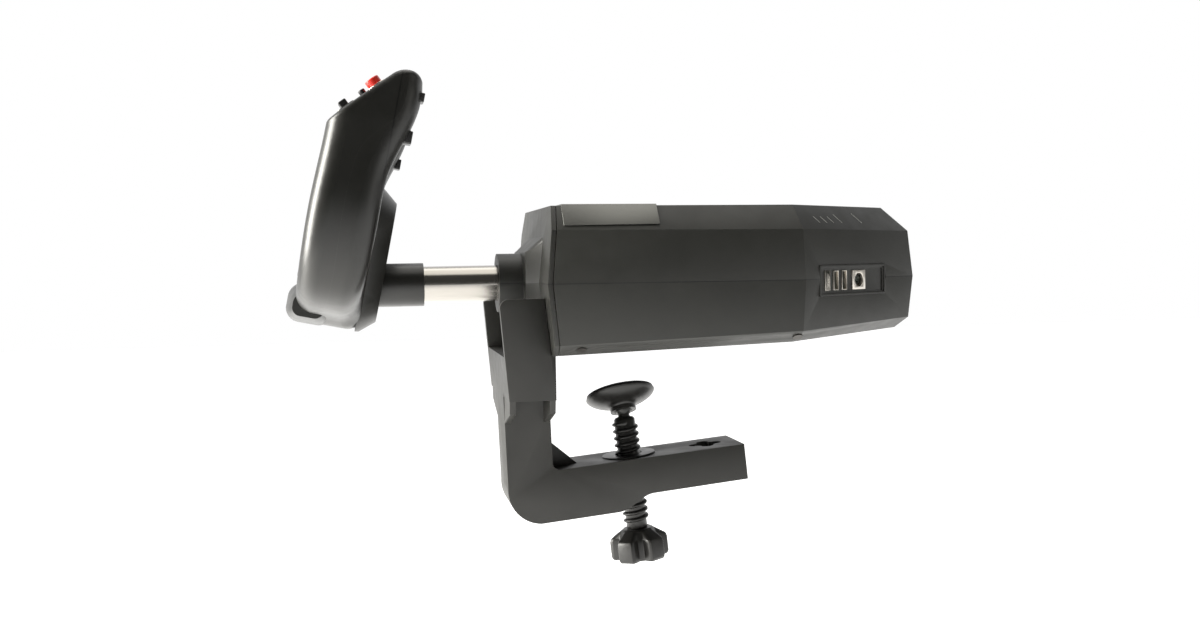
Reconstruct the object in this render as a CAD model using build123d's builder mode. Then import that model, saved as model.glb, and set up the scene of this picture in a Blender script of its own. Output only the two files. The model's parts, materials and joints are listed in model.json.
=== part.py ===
"""Desk-clamp flight yoke: a two-horn control wheel on a chrome shaft that slides and turns in a housing.

Millimetres, +Z up, +X from the pilot towards the housing's rear end, +Y to the pilot's left.
The origin is the middle of the front edge of the housing's underside, where the desk's edge comes.
"""
from build123d import *
from math import atan2, cos, degrees, pi, radians, sin, tan
import os

os.makedirs("parts", exist_ok=True)

# ---------------------------------------------------------------- driving dimensions
# housing
shaft_height = 48.0  # shaft axis and parting line above the front edge of the underside
housing_top_front = 99.3
housing_top_slope = 0.7  # degrees, falling to the rear
housing_bottom_slope = 2.5  # degrees, rising to the rear
housing_length = 260.5
housing_bend = 160.5  # where the sides turn in
half_width_front = 84.0
half_width_bend = 110.0
half_width_rear = 48.0
wall_draft = 3.0  # how far each side wall leans in from the parting line to its crease
upper_chamfer_run = 13.0
upper_chamfer_rise = 16.3
lower_chamfer_run = 13.0
lower_chamfer_rise = 7.6
rear_chamfer_run = 18.0
rear_lower_run = 5.0
front_bulge = 4.9  # how far the front cover's middle stands ahead of its edges
housing_wall = 2.6
cover_thickness = 3.0
seam_gap = 0.5

# shaft and its boss
shaft_diameter = 25.0
shaft_running_gap = 0.06
shaft_end = 114.0
shaft_start = -121.0
boss_diameter = 41.0
boss_reach = 29.5  # boss front ahead of the front edge
bush_diameter = 33.0
bush_depth = 26.0
collar_diameter = 30.0
collar_end = -80.9
pedestal_width = 88.0
pedestal_height = 66.0
pedestal_reach = 13.0
pedestal_taper = 42.0

bush_front = -boss_reach + 3.0
shaft_bore = shaft_diameter / 2 + shaft_running_gap
bolt_diameter = 3.0
bolt_length = 20.0
cheek_bolt_heights = (15.0, 31.0)
plate_start = 6.5
plate_length = 62.0
plate_thickness = 1.0
plate_rise = 38.0  # lower edge above the parting line
plate_inner_edge = 12.0  # where it ends on the top, from the middle
housing_screw_places = (17.5, 157.5)
screw_head_diameter = 6.5

# slide and roll mechanism
carriage_front = 85.0
carriage_length = 32.0
carriage_rear = carriage_front + carriage_length
carriage_width = 96.0
carriage_top = 62.0
carriage_bottom = 16.0
rod_diameter = 8.0
rod_spacing = 74.0
rod_height = 27.0
rod_start = 6.0
rod_end = 198.0
tower_length = 6.0
tower_width = 13.0
rod_gap = 0.06
sleeve_diameter = 13.0
gear_module = 1.0
roll_gear_teeth = 36
roll_pinion_teeth = 12
pitch_pinion_teeth = 16
gear_width = 6.0
gear_gap = 2.0  # between the roll gear and the carriage
rack_start = 86.0
rack_teeth = 28
rack_thickness = 4.0
rack_height = 40.0
rack_depth = 8.0
pitch_pinion_x = 130.0
spring_wire = 1.2
spring_radius = 6.2
moving_gap = 0.4  # between faces of pieces that move past each other

sensor_width = 16.0
sensor_length = 14.0
sensor_seat = 64.0
sensor_pin = 3.0
sensor_top = 32.0
pinion_phase = 15.0
pitch_phase = 0.0
ring_reach = 8.0
board_thickness = 1.6
board_height = 18.0
board_length = 44.0
board_width = 40.0
board_x = 222.0
board_y = 0.0
gland_front = housing_length - 8.0
gland_radius = 5.0
gland_y = 24.0
gland_z = 30.0

# control wheel
wheel_x = -136.0
wheel_lean = 11.6  # degrees, top towards the housing
wheel_wall = 2.6
hub_cover_rear = 25.7
hub_cover_width = 72.0
hub_cover_bottom = -28.0
hub_cover_skirt = -30.5  # lower end of its tapered form
hub_cover_corner = 30.0
hub_cover_round = 6.0
hub_cover_top = 62.0
hub_cover_seat = 13.0
hub_cover_wall = 3.0
cover_taper = 40.0
cover_slope = (hub_cover_rear - hub_cover_seat) * tan(radians(cover_taper))
part_fit = 0.15
display_width = 60.0
display_tall = 40.0
display_height = 36.0
display_back = -24.5
display_front = -30.3
panel_thickness = 3.4
timer_height = 6.0
timer_diameter = 9.0
wheel_board_depth = -20.0
main_button = 9.3
main_button_out = 5.6
main_button_along = 34.0
bezel_diameter = 13.0
bezel_sleeve = 11.4
small_button_diameter = 4.4
small_button_along = 25.0
small_button_out = 3.8
toggle_along = 11.5
toggle_width = 14.0
toggle_length = 9.0
hat_diameter = 15.0
hat_stem = 6.0
hat_gap = 1.6
rear_button_height = 123.3
rear_button_width = 14.0
rear_button_tall = 5.6
rear_button_back = 28.6
trigger_height = 98.0
trigger_width = 15.0
trigger_tall = 8.0
trigger_back = 25.6
wheel_screw_head = 6.0

# clamp
clamp_tilt = 6.0  # degrees, the screw's top leans towards the pilot
clamp_width = 122.0
cheek_thickness = 6.0
cheek_top = 38.0
cheek_round = 6.0
throat_round = 5.0
clamp_front = -34.5
throat_depth = 2.5  # upright's rear face
upright_width = 48.0
wing_bottom = -30.0
arm_tip = 145.0
screw_x = 63.0
screw_z = -77.9
screw_diameter = 18.6
screw_root = 15.0
screw_pitch = 5.0
screw_gap = 0.35
insert_diameter = 28.0
insert_flange = 38.0
insert_flange_height = 1.5
lobe_hole_x = 118.5
knob_diameter = 43.0
knob_height = 22.0
ball_radius = 6.0
ball_gap = 0.35
ball_neck = 8.0
ball_bore_gap = 0.1
heel_radius = 24.0
rib_thickness = 4.0
rib_drop = 13.0
gusset_thickness = 10.0
insert_depth = 24.0
knob_top = -53.0  # along the screw, from the arm's top
neck_bottom = 27.5
ball_height = 34.0
socket_diameter = 18.7
socket_mouth = 12.6
pad_face = 1.2
pad_diameter = 50.0
pad_thickness = 5.0
pad_rim = 2.0
pad_flop = 24.0  # degrees, near edge up

# ---------------------------------------------------------------- shared planes and helpers
cheek_middle = (clamp_width - cheek_thickness) / 2
cheek_bolt_places = [(side * cheek_middle, z) for side in (-1, 1) for z in cheek_bolt_heights]
lean = radians(wheel_lean)


def save(builder, name):
    """Label a finished piece and write its STEP file."""
    builder.part.label = name
    export_step(builder.part, f"parts/{name}.step")


def top_z(x):
    return housing_top_front - x * tan(radians(housing_top_slope))


def bottom_z(x):
    return x * tan(radians(housing_bottom_slope))


def plane_through(first, second, third, outwards):
    """Plane through three points, with its normal on the outwards side."""
    along = Vector(*second) - Vector(*first)
    across = Vector(*third) - Vector(*first)
    normal = along.cross(across).normalized()
    if normal.dot(Vector(*outwards)) < 0:
        normal = normal * -1
    return Plane(origin=first, x_dir=along, z_dir=normal)


def wall_planes(start, end, upper_run, lower_run):
    """The four faces above one plan edge: upper wall, upper chamfer, lower wall and lower chamfer."""
    edge = Vector(end[0] - start[0], end[1] - start[1])
    out = Vector(edge.Y, -edge.X).normalized()
    planes = []
    for level, crease_rise, run, side in (
        (top_z, -upper_chamfer_rise, upper_run, 1),
        (bottom_z, lower_chamfer_rise, lower_run, -1),
    ):
        crease = []
        for x, y in (start, end):
            crease.append((x - out.X * wall_draft, y - out.Y * wall_draft, level(x) + crease_rise))
        rim_inset = wall_draft + run
        rim = (start[0] - out.X * rim_inset, start[1] - out.Y * rim_inset, level(start[0]))
        parting = [(x, y, shaft_height) for x, y in (start, end)]
        middle = tuple((crease[0][i] + crease[1][i]) / 2 for i in range(3))
        planes.append(plane_through(parting[0], parting[1], middle, (out.X, out.Y, 0)))
        planes.append(plane_through(crease[0], crease[1], rim, (out.X, out.Y, side)))
    return planes


plan_corners = [
    (0, -half_width_front), (housing_bend, -half_width_bend), (housing_length, -half_width_rear),
    (housing_length, half_width_rear), (housing_bend, half_width_bend), (0, half_width_front),
]
side_planes = []
for corner, next_corner in zip(plan_corners, plan_corners[1:]):
    if corner[0] == next_corner[0]:
        side_planes += wall_planes(corner, next_corner, rear_chamfer_run, rear_lower_run)
    else:
        side_planes += wall_planes(corner, next_corner, upper_chamfer_run, lower_chamfer_run)
level_planes = [
    plane_through((0, 0, top_z(0)), (100, 0, top_z(100)), (0, 50, top_z(0)), (0, 0, 1)),
    plane_through((0, 0, bottom_z(0)), (100, 0, bottom_z(100)), (0, 50, bottom_z(0)), (0, 0, -1)),
]
apex = (-front_bulge, 0, shaft_height)
apex_side = (-front_bulge, 50, shaft_height)
front_planes = [
    plane_through(apex, apex_side, (0, 0, top_z(0)), (-1, 0, 0)),
    plane_through(apex, apex_side, (0, 0, bottom_z(0)), (-1, 0, 0)),
]


def cut_to(planes, inset):
    """Cut the part being built back to the inner side of each plane, moved in by inset."""
    for plane in planes:
        split(bisect_by=plane.offset(-inset), keep=Keep.BOTTOM)


def housing_block(inset, front_inset):
    """The housing's outer form with its walls moved in, as far forward as the front inset leaves."""
    with Locations((housing_length / 2, 0, shaft_height)):
        Box(housing_length + 60, 3 * half_width_bend, 4 * shaft_height)
    cut_to(side_planes + level_planes, inset)
    cut_to(front_planes, front_inset)


def shaft_plane(x):
    """Plane across the shaft axis at x, facing +X."""
    return Plane(origin=(x, 0, shaft_height), x_dir=(0, 1, 0), z_dir=(1, 0, 0))


def rod(x_start, x_end, radius, y=0.0, z=shaft_height, mode=Mode.ADD):
    """Round bar along X."""
    with BuildSketch(Plane(origin=(x_start, y, z), x_dir=(0, 1, 0), z_dir=(1, 0, 0))) as section:
        Circle(radius)
    extrude(section.sketch, amount=x_end - x_start, mode=mode)


# ---------------------------------------------------------------- port bay on the near rear wall
port_width = 72.0
port_height = 21.0
port_along = 50.0  # from the bend to the bay's middle, along the wall
port_depth = 9.0
port_recess = 1.0
port_drop = 1.2  # bay middle below the parting line
port_rim = 1.4
port_fit = 0.2
port_edge = port_rim + port_fit
usb_width = 5.1
usb_height = 13.0
usb_pitch = 8.9
usb_first = -27.5
usb_wall = 0.4
usb_length = 12.0
din_x = 6.0
din_width = 14.0
din_diameter = 9.0
lip_x = 32.0
lip_length = 16.0
lip_width = 1.6
lip_depth = 2.5

bay_edge = Vector(housing_length - housing_bend, half_width_bend - half_width_rear).normalized()
bay_middle = Vector(housing_bend, -half_width_bend, shaft_height - port_drop) + bay_edge * port_along
port_plane = Plane(origin=bay_middle, x_dir=bay_edge, z_dir=Vector(bay_edge.Y, -bay_edge.X))

# ---------------------------------------------------------------- housing
with BuildPart() as upper_housing:
    housing_block(0, cover_thickness + seam_gap)
    split(bisect_by=Plane.XY.offset(shaft_height), keep=Keep.TOP)
housing_outer_upper = upper_housing.part

with BuildPart() as housing_cavity:
    housing_block(housing_wall, -3 * cover_thickness)

with BuildPart() as port_opening:
    with BuildSketch(port_plane):
        RectangleRounded(port_width, port_height, 1.5)
    extrude(amount=10, both=True)

with BuildPart() as upper_housing:
    add(housing_outer_upper)
    add(housing_cavity.part, mode=Mode.SUBTRACT)
    add(port_opening.part, mode=Mode.SUBTRACT)
save(upper_housing, "upper_housing")

tower_places = []
for tower_x in (rod_start, rod_end - tower_length):
    tower_places += [(tower_x, -rod_spacing / 2), (tower_x, rod_spacing / 2)]

with BuildPart() as housing_screws:
    for x in housing_screw_places:
        for side in (-1, 1):
            half = half_width_front + (half_width_bend - half_width_front) * x / housing_bend
            head_y = half - wall_draft - lower_chamfer_run / 2
            spot = Vector(x, side * head_y, bottom_z(x) + lower_chamfer_rise / 2)
            out = Vector(0, side * lower_chamfer_rise, -lower_chamfer_run).normalized()
            with BuildSketch(Plane(origin=spot - out * 6, x_dir=(1, 0, 0), z_dir=out)):
                Circle(screw_head_diameter / 2)
            extrude(amount=6.6)
save(housing_screws, "housing_screws")

with BuildPart() as lower_housing:
    housing_block(0, cover_thickness + seam_gap)
    split(bisect_by=Plane.XY.offset(shaft_height), keep=Keep.BOTTOM)
    add(housing_cavity.part, mode=Mode.SUBTRACT)
    add(port_opening.part, mode=Mode.SUBTRACT)
    add(housing_screws.part, mode=Mode.SUBTRACT)
    rod(gland_front, housing_length + 6, gland_radius, gland_y, gland_z, mode=Mode.SUBTRACT)
save(lower_housing, "lower_housing")


# front cover, split like the housing at the shaft axis
with BuildPart() as behind_cover:
    housing_block(-2, cover_thickness)

with BuildPart() as front_cover:
    housing_block(0, 0)
    add(behind_cover.part, mode=Mode.SUBTRACT)
    with BuildSketch(Plane(origin=(0, 0, shaft_height), x_dir=(0, 1, 0), z_dir=(-1, 0, 0))):
        RectangleRounded(pedestal_width, pedestal_height, 4)
    extrude(amount=pedestal_reach, taper=pedestal_taper)
    rod(-boss_reach, 0, boss_diameter / 2)
    rod(bush_front, 2 * bush_depth, bush_diameter / 2, mode=Mode.SUBTRACT)
    rod(-boss_reach - 1, 0, shaft_diameter / 2 + moving_gap, mode=Mode.SUBTRACT)

with BuildPart() as front_cover_upper:
    add(front_cover.part)
    split(bisect_by=Plane.XY.offset(shaft_height), keep=Keep.TOP)
save(front_cover_upper, "front_cover_upper")

with BuildPart() as front_cover_lower:
    add(front_cover.part)
    split(bisect_by=Plane.XY.offset(shaft_height), keep=Keep.BOTTOM)
    for place in cheek_bolt_places:
        rod(-10, 10, bolt_diameter / 2, place[0], place[1], mode=Mode.SUBTRACT)
save(front_cover_lower, "front_cover_lower")

with BuildPart() as shaft_bush:
    rod(bush_front, bush_front + bush_depth, bush_diameter / 2)
    rod(bush_front - 1, bush_front + bush_depth + 1, shaft_bore, mode=Mode.SUBTRACT)
save(shaft_bush, "shaft_bush")

# bright plate wrapped over the near upper edge
with BuildPart() as top_plate:
    housing_block(-plate_thickness, 0)
    split(bisect_by=Plane.YZ.offset(plate_start), keep=Keep.TOP)
    split(bisect_by=Plane.YZ.offset(plate_start + plate_length), keep=Keep.BOTTOM)
    split(bisect_by=Plane.XY.offset(shaft_height + plate_rise), keep=Keep.TOP)
    split(bisect_by=Plane.XZ.offset(plate_inner_edge), keep=Keep.TOP)
    add(housing_outer_upper, mode=Mode.SUBTRACT)
save(top_plate, "top_plate")


# ---------------------------------------------------------------- ports
usb_places = [(usb_first + i * usb_pitch, 0) for i in range(3)]

with BuildPart() as port_panel:
    with BuildSketch(port_plane.offset(-port_depth)):
        RectangleRounded(port_width - 2 * port_fit, port_height - 2 * port_fit, 1.3)
    extrude(amount=port_depth - port_fit)
    with BuildSketch(port_plane.offset(-port_recess)):
        RectangleRounded(port_width - 2 * port_edge, port_height - 2 * port_edge, 1.0)
    extrude(amount=port_recess, mode=Mode.SUBTRACT)
    with BuildSketch(port_plane.offset(-port_recess)):
        with Locations((lip_x, 0)):
            SlotOverall(lip_length, lip_width, rotation=90)
    extrude(amount=-lip_depth, mode=Mode.SUBTRACT)
    with BuildSketch(port_plane.offset(-port_depth)):
        with Locations(*usb_places):
            Rectangle(usb_width + 2 * port_fit, usb_height + 2 * port_fit)
        with Locations((din_x, 0)):
            Rectangle(din_width + 2 * port_fit, usb_height + 2 * port_fit)
    extrude(amount=port_depth, mode=Mode.SUBTRACT)
save(port_panel, "port_panel")

with BuildPart() as usb_shells:
    with BuildSketch(port_plane.offset(-port_recess - usb_length)):
        with Locations(*usb_places):
            Rectangle(usb_width, usb_height)
    extrude(amount=usb_length + 0.8)
    with BuildSketch(port_plane.offset(-port_recess - usb_length + usb_wall)):
        with Locations(*usb_places):
            Rectangle(usb_width - 2 * usb_wall, usb_height - 2 * usb_wall)
    extrude(amount=usb_length + 1, mode=Mode.SUBTRACT)
save(usb_shells, "usb_shells")

with BuildPart() as mini_din_shell:
    with BuildSketch(port_plane.offset(-port_recess - usb_length)):
        with Locations((din_x, 0)):
            Rectangle(din_width, usb_height)
    extrude(amount=usb_length + 0.8)
    with BuildSketch(port_plane.offset(-port_recess - usb_length + 2)):
        with Locations((din_x, 0)):
            Circle(din_diameter / 2)
    extrude(amount=usb_length, mode=Mode.SUBTRACT)
save(mini_din_shell, "mini_din_shell")

with BuildPart() as port_cores:
    with BuildSketch(port_plane.offset(-port_recess - usb_length + usb_wall)):
        with Locations(*[(x - 0.9, 0) for x, _ in usb_places]):
            Rectangle(1.8, usb_height - 2.4)
    extrude(amount=usb_length - 2)
    with BuildSketch(port_plane.offset(-port_recess - usb_length + 2)):
        with Locations((din_x, 0)):
            Circle(din_diameter / 2 - 1.4)
            with PolarLocations(din_diameter / 2 - 2.6, 6):
                Circle(0.5, mode=Mode.SUBTRACT)
            with Locations((0, -1.4)):
                Rectangle(2.2, 1.0, mode=Mode.SUBTRACT)
    extrude(amount=usb_length - 3.5)
save(port_cores, "port_cores")

with BuildPart() as port_board:
    with BuildSketch(port_plane.offset(-port_recess - usb_length - board_thickness)):
        Rectangle(port_width - 6, port_height - 2)
    extrude(amount=board_thickness)
save(port_board, "port_board")

# ---------------------------------------------------------------- mechanism in the housing
with BuildPart() as rod_towers:
    for x, y in tower_places:
        base = bottom_z(x + tower_length) + housing_wall
        with BuildSketch(Plane(origin=(x, y, 0), x_dir=(0, 1, 0), z_dir=(1, 0, 0))):
            with Locations((0, (base + rod_height + tower_width / 2) / 2)):
                RectangleRounded(tower_width, rod_height + tower_width / 2 - base, 1.5)
        extrude(amount=tower_length)
    for side in (-1, 1):
        rod(rod_start, rod_end, rod_diameter / 2, side * rod_spacing / 2, rod_height, mode=Mode.SUBTRACT)
save(rod_towers, "rod_towers")

with BuildPart() as guide_rods:
    for side in (-1, 1):
        rod(rod_start, rod_end, rod_diameter / 2, side * rod_spacing / 2, rod_height)
save(guide_rods, "guide_rods")

with BuildPart() as carriage:
    with BuildSketch(Plane(origin=(carriage_front, 0, 0), x_dir=(0, 1, 0), z_dir=(1, 0, 0))):
        with Locations((0, (carriage_top + carriage_bottom) / 2)):
            RectangleRounded(carriage_width, carriage_top - carriage_bottom, 3)
        with Locations((0, carriage_top)):
            Rectangle(2 * sensor_width, 2 * (sensor_seat - carriage_top))
    extrude(amount=carriage_length)
    rod(carriage_front, carriage_rear, shaft_bore, mode=Mode.SUBTRACT)
    for side in (-1, 1):
        y = side * rod_spacing / 2
        rod(carriage_front, carriage_rear, sleeve_diameter / 2, y, rod_height, mode=Mode.SUBTRACT)
save(carriage, "carriage")

with BuildPart() as carriage_sleeves:
    for side in (-1, 1):
        y = side * rod_spacing / 2
        rod(carriage_front, carriage_rear, sleeve_diameter / 2, y, rod_height)
    for side in (-1, 1):
        y = side * rod_spacing / 2
        inner = rod_diameter / 2 + rod_gap
        rod(carriage_front, carriage_rear, inner, y, rod_height, mode=Mode.SUBTRACT)
save(carriage_sleeves, "carriage_sleeves")


def spring_sleeve(x_start, x_end):
    """Outer form of one pair of coil springs on the guide rods."""
    for side in (-1, 1):
        y = side * rod_spacing / 2
        rod(x_start, x_end, spring_radius, y, rod_height)
    for side in (-1, 1):
        y = side * rod_spacing / 2
        rod(x_start, x_end, spring_radius - spring_wire, y, rod_height, mode=Mode.SUBTRACT)


with BuildPart() as front_springs:
    spring_sleeve(rod_start + tower_length, carriage_front)
save(front_springs, "front_springs")

with BuildPart() as rear_springs:
    spring_sleeve(carriage_rear, rod_end - tower_length)
save(rear_springs, "rear_springs")


def gear_sketch(teeth, bore_radius, phase):
    """Spur gear outline with straight-sided teeth and room for a mating gear's tips."""
    pitch_radius = teeth * gear_module / 2
    root_radius = pitch_radius - 1.2 * gear_module
    tip_radius = pitch_radius + 0.8 * gear_module
    with BuildSketch(mode=Mode.PRIVATE) as outline:
        Circle(root_radius)
        with PolarLocations(0, teeth, start_angle=phase):
            Polygon(
                (root_radius - 0.3, -0.95 * gear_module),
                (tip_radius, -0.28 * gear_module),
                (tip_radius, 0.28 * gear_module),
                (root_radius - 0.3, 0.95 * gear_module),
                align=None,
            )
        Circle(bore_radius, mode=Mode.SUBTRACT)
    return outline.sketch


roll_gear_x = carriage_front - gear_gap - gear_width
roll_pinion_height = shaft_height + (roll_gear_teeth + roll_pinion_teeth) * gear_module / 2

with BuildPart() as roll_gear:
    gear = gear_sketch(roll_gear_teeth, shaft_diameter / 2, 0)
    extrude(shaft_plane(roll_gear_x) * gear, amount=gear_width)
save(roll_gear, "roll_gear")

with BuildPart() as roll_pinion:
    gear = gear_sketch(roll_pinion_teeth, sensor_pin / 2, pinion_phase)
    spot = Plane(origin=(roll_gear_x, 0, roll_pinion_height), x_dir=(0, 1, 0), z_dir=(1, 0, 0))
    extrude(spot * gear, amount=gear_width)
    rod(roll_gear_x, carriage_front, sensor_pin / 2, 0, roll_pinion_height)
save(roll_pinion, "roll_pinion")

with BuildPart() as roll_sensor:
    with BuildSketch(Plane.XY.offset(sensor_seat)):
        with Locations((carriage_front + 2 + sensor_length / 2, 0)):
            Rectangle(sensor_length, sensor_width)
    extrude(amount=2 * (roll_pinion_height - sensor_seat))
    rod(carriage_front + moving_gap, carriage_front + 3, sensor_pin, 0, roll_pinion_height)
save(roll_sensor, "roll_sensor")

with BuildPart() as retaining_ring:
    rod(carriage_rear + moving_gap, shaft_end - 0.5 + ring_reach, shaft_diameter / 2 + 3)
    rod(carriage_front, shaft_end + 20, shaft_diameter / 2, mode=Mode.SUBTRACT)
save(retaining_ring, "retaining_ring")

rack_face = carriage_width / 2 + rack_thickness
pinion_radius = pitch_pinion_teeth * gear_module / 2
pinion_y = rack_face + pinion_radius
tooth_pitch = pi * gear_module
rack_middle = rack_start + rack_teeth * tooth_pitch / 2

with BuildPart() as slide_rack:
    with BuildSketch(Plane.XY.offset(rack_height)):
        with Locations((rack_middle, carriage_width / 2 + (rack_thickness - 1.2 * gear_module) / 2)):
            Rectangle(rack_teeth * tooth_pitch, rack_thickness - 1.2 * gear_module)
        with Locations(*[(rack_start + (i + 0.5) * tooth_pitch, rack_face) for i in range(rack_teeth)]):
            Polygon(
                (-0.95 * gear_module, -1.5 * gear_module),
                (0.95 * gear_module, -1.5 * gear_module),
                (0.28 * gear_module, 0.8 * gear_module),
                (-0.28 * gear_module, 0.8 * gear_module),
                align=None,
            )
    extrude(amount=rack_depth)
save(slide_rack, "slide_rack")

with BuildPart() as pitch_pinion:
    gear = gear_sketch(pitch_pinion_teeth, sensor_pin / 2, pitch_phase)
    extrude(Plane(origin=(pitch_pinion_x, pinion_y, rack_height)) * gear, amount=rack_depth)
    with BuildSketch(Plane(origin=(pitch_pinion_x, pinion_y, sensor_top + moving_gap))):
        Circle(sensor_pin / 2)
    extrude(amount=rack_height + rack_depth - sensor_top - moving_gap)
save(pitch_pinion, "pitch_pinion")

sensor_bottom = bottom_z(pitch_pinion_x) + housing_wall + 0.6

with BuildPart() as pitch_sensor:
    with BuildSketch(Plane.XY.offset(sensor_bottom)):
        with Locations((pitch_pinion_x, pinion_y)):
            Rectangle(sensor_width, sensor_width)
    extrude(amount=sensor_top - sensor_bottom)
save(pitch_sensor, "pitch_sensor")

with BuildPart() as main_board:
    with BuildSketch(Plane.XY.offset(board_height)):
        with Locations((board_x, board_y)):
            Rectangle(board_length, board_width)
            with GridLocations(board_length - 8, board_width - 8, 2, 2):
                Circle(1.6, mode=Mode.SUBTRACT)
    extrude(amount=board_thickness)
    with BuildSketch(Plane.XY.offset(board_height + board_thickness)):
        with Locations((board_x + 4, board_y)):
            Rectangle(12, 12)
        with Locations((board_x - 12, board_y + 8)):
            Rectangle(6, 10)
    extrude(amount=2)
save(main_board, "main_board")

with BuildPart() as cable_gland:
    rod(gland_front, housing_length + 6, gland_radius, gland_y, gland_z)
    rod(gland_front, gland_front + 2, gland_radius + 2.5, gland_y, gland_z)
    rod(gland_front, housing_length + 6, 2.3, gland_y, gland_z, mode=Mode.SUBTRACT)
save(cable_gland, "cable_gland")

# ---------------------------------------------------------------- control wheel
wheel_rearwards = Vector(cos(lean), 0, -sin(lean))
wheel_upwards = Vector(sin(lean), 0, cos(lean))
wheel_middle = Vector(wheel_x, 0, shaft_height)


def wheel_point(depth, y, height):
    """Point from its depth towards the housing, its side place and its height in the leaning wheel."""
    return wheel_middle + wheel_rearwards * depth + Vector(0, y, 0) + wheel_upwards * height


def wheel_face(depth, y=0.0, height=0.0, towards=1):
    """Plane across the wheel's depth, facing the housing (1) or the pilot (-1)."""
    return Plane(origin=wheel_point(depth, y, height), x_dir=(0, 1, 0), z_dir=wheel_rearwards * towards)


# Sections of one horn and half the hub, from the horn's tip to the middle:
# front depth, rear depth, distance from the middle, height, turn towards the middle, width, corner radius
wheel_sections = [
    (-14.0, 26.0, 110.0, 139.5, 0, 26.0, 11.0),
    (-25.0, 27.0, 111.0, 125.0, 0, 34.0, 13.0),
    (-26.0, 24.2, 113.0, 104.0, 0, 37.0, 13.0),
    (-26.5, 16.0, 115.0, 76.0, 0, 39.0, 13.0),
    (-27.5, 14.6, 116.0, 42.0, 0, 41.0, 13.0),
    (-27.0, 13.4, 106.0, 14.0, 42, 42.0, 13.0),
    (-27.5, 13.0, 76.0, 3.0, 88, 42.0, 13.0),
    (-28.5, 14.5, 48.0, 8.0, 90, 60.0, 12.0),
    (-29.2, 17.5, 22.0, 17.0, 90, 88.0, 10.0),
    (-29.5, 18.5, 0.0, 20.0, 90, 98.0, 9.5),
]
facet_foot = (-24.0, 100.0)  # depth and height of the control facet's lower edge
facet_head = (5.0, 131.0)
horn_front = -27.7
horn_rear = 26.8
horn_top = 138.0
horn_rounding = 4.0
# side place, depth, height and corner radius of the chin under the display
chin_sections = [(0.0, 31.0, 27.0, 10.0), (34.0, 30.0, 24.0, 9.0), (64.0, 20.0, 14.0, 5.5)]
chin_middle = (-18.6, -15.5)
facet_angle = atan2(facet_head[1] - facet_foot[1], facet_head[0] - facet_foot[0])
facet_along = wheel_rearwards * cos(facet_angle) + wheel_upwards * sin(facet_angle)
facet_out = wheel_upwards * cos(facet_angle) - wheel_rearwards * sin(facet_angle)


def facet_plane(along, y, out=0.0):
    """Plane on the control facet, a distance up from its lower edge."""
    spot = wheel_point(facet_foot[0], y, facet_foot[1]) + facet_along * along + facet_out * out
    return Plane(origin=spot, x_dir=(0, -1, 0), z_dir=facet_out)


wheel_side = Plane(origin=wheel_middle, x_dir=wheel_rearwards, z_dir=(0, -1, 0))
outline_y = half_width_bend + 60  # beyond the wheel's widest place


def facet_line(inset, depth=None, height=None):
    """Point of the control facet's line in side view at a depth or a height, with the line moved in."""
    start = (facet_foot[0] + inset * sin(facet_angle), facet_foot[1] - inset * cos(facet_angle))
    if height is None:
        return (depth, start[1] + (depth - start[0]) * tan(facet_angle))
    return (start[0] + (height - start[1]) / tan(facet_angle), height)


def horn_outline(inset):
    """Side view of the wheel above its hub: the slanting control facet and the rounded tip."""
    top = horn_top - inset
    with BuildSketch(wheel_side.offset(-outline_y), mode=Mode.PRIVATE) as outline:
        with BuildLine():
            Polyline(
                (-60, -80), (-60, 40), (horn_front + inset, 60), facet_line(inset, depth=horn_front + inset),
                facet_line(inset, height=top), (horn_rear - inset, top), (horn_rear - inset, -80), close=True,
            )
        make_face()
        fillet(outline.vertices().group_by(Axis.Y)[-1].sort_by(Axis.X)[0], 14 - inset)
        fillet(outline.vertices().group_by(Axis.Y)[-1].sort_by(Axis.X)[-1], 9 - inset)
        fillet(outline.vertices().filter_by_position(Axis.Y, 80, 110)[0], 12 - inset)
    return outline.sketch


def runs_along(edge, outline):
    """Whether an edge of a horn's upper part lies where the outline's cut meets the horn's sides."""
    for share in (0.05, 0.35, 0.65, 0.95):
        spot = edge @ share
        if (spot - wheel_middle).dot(wheel_upwards) < facet_foot[1] - 6:
            return False
        if outline.distance_to(Vertex(spot.X, outline_y, spot.Z)) > 0.02:
            return False
    return abs((edge @ 1 - edge @ 0).Y) < 0.99 * edge.length


def wheel_form(inset):
    """Solid of the whole wheel with its surface moved in."""
    outline = horn_outline(inset)
    with BuildPart(mode=Mode.PRIVATE) as form:
        sections = []
        for index, (front, rear, y, height, turn, width, radius) in enumerate(wheel_sections):
            angle = radians(turn)
            along = Vector(0, sin(angle), 0) - wheel_upwards * cos(angle)
            tip_drop = inset if index == 0 else 0
            place = wheel_point((front + rear) / 2, -y, height - tip_drop)
            with BuildSketch(Plane(origin=place, x_dir=wheel_rearwards, z_dir=along)) as section:
                RectangleRounded(rear - front - 2 * inset, width - 2 * inset, radius - inset)
            sections.append(section.sketch)
        loft(sections)
        extrude(outline, amount=2 * outline_y, mode=Mode.INTERSECT)
        chin = []
        for y, deep, tall, corner in chin_sections:
            place = wheel_point(chin_middle[0], min(0, inset - y), chin_middle[1])
            with BuildSketch(Plane(origin=place, x_dir=wheel_rearwards, z_dir=(0, 1, 0))) as section:
                RectangleRounded(deep - 2 * inset, tall - 2 * inset, corner - inset)
            chin.append(section.sketch)
        loft(chin)
        split(bisect_by=Plane.XZ, keep=Keep.TOP)
        mirror(about=Plane.XZ)
        if inset == 0:
            rim = outline.faces()[0].outer_wire()
            fillet(form.edges().filter_by(lambda edge: runs_along(edge, rim)), horn_rounding)
    return form.part


wheel_solid = wheel_form(0)
wheel_hollow = wheel_form(wheel_wall)

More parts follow.
